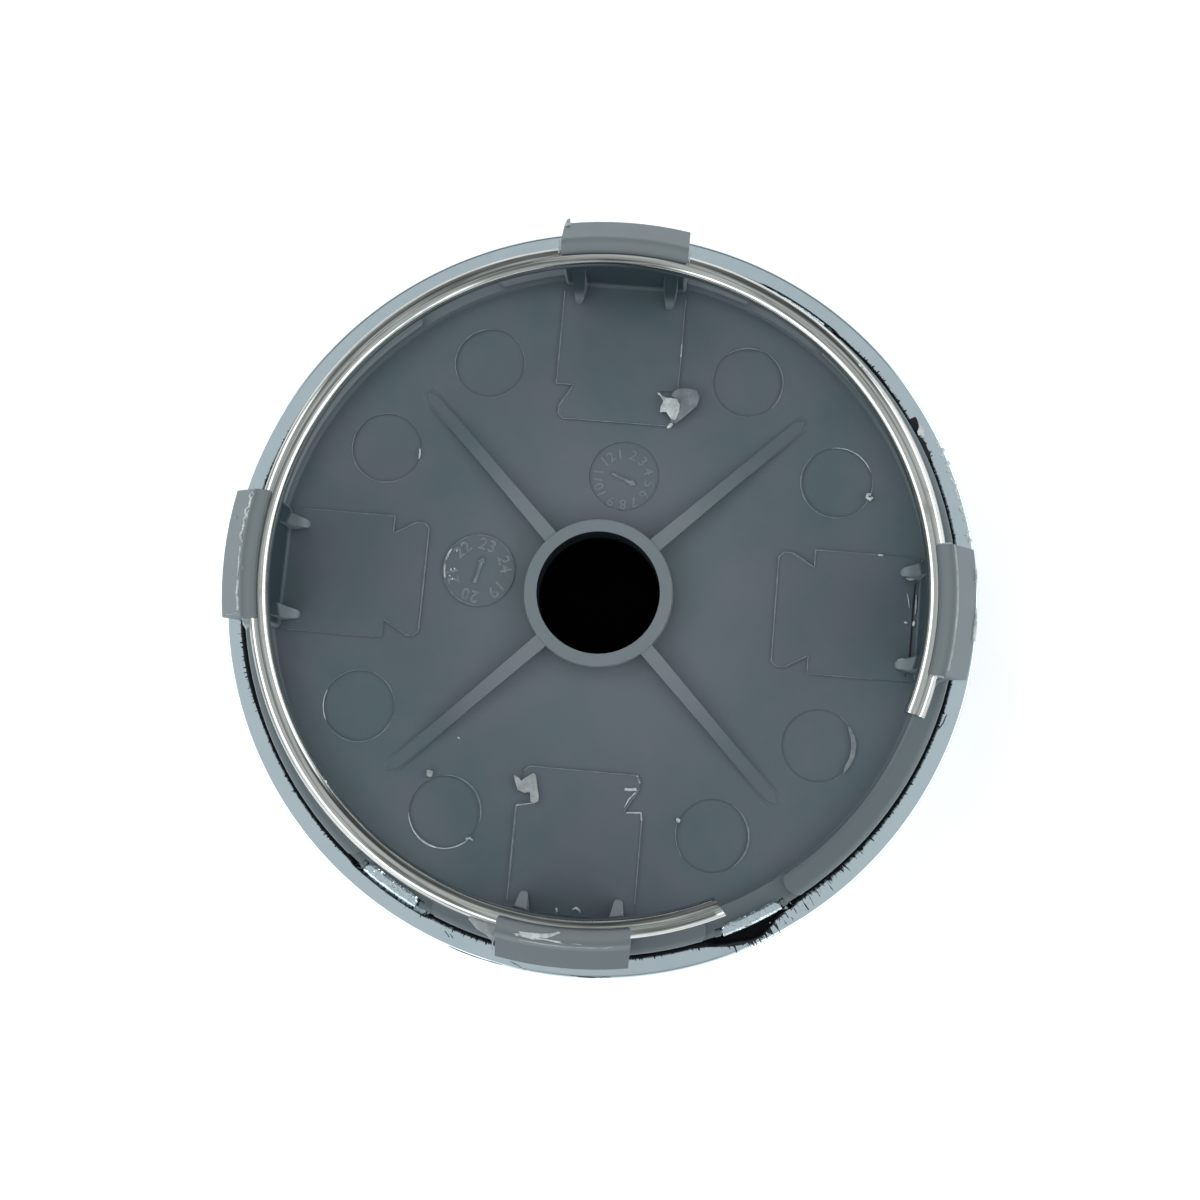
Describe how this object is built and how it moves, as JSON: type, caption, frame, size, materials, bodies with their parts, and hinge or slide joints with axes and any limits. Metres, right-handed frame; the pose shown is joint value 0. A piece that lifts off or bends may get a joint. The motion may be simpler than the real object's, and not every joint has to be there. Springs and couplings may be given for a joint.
{
  "type": "wheel center cap",
  "caption": "Snap-in center cap for a car wheel, lying face down: chromed bezel, black front disc, grey clip base with barbed clips, and a wire spring ring.",
  "frame": {"origin": "on the axis, in the plane of the bezel's front ring, which the cap lies on", "axes": "+Z along the cap's axis, from its front towards the clips; +X through the middle of one clip"},
  "size_m": [0.063, 0.063, 0.0118],
  "materials": {
    "grey_abs": "moulded grey plastic, satin",
    "chrome_plate": "chrome plated plastic",
    "black_gloss": "polished black plastic",
    "spring_steel": "drawn spring wire"
  },
  "bodies": {
    "root": {"clip_base": "grey_abs", "chrome_bezel": "chrome_plate", "front_disc": "black_gloss", "spring_ring": "spring_steel"}
  },
  "joints": []
}
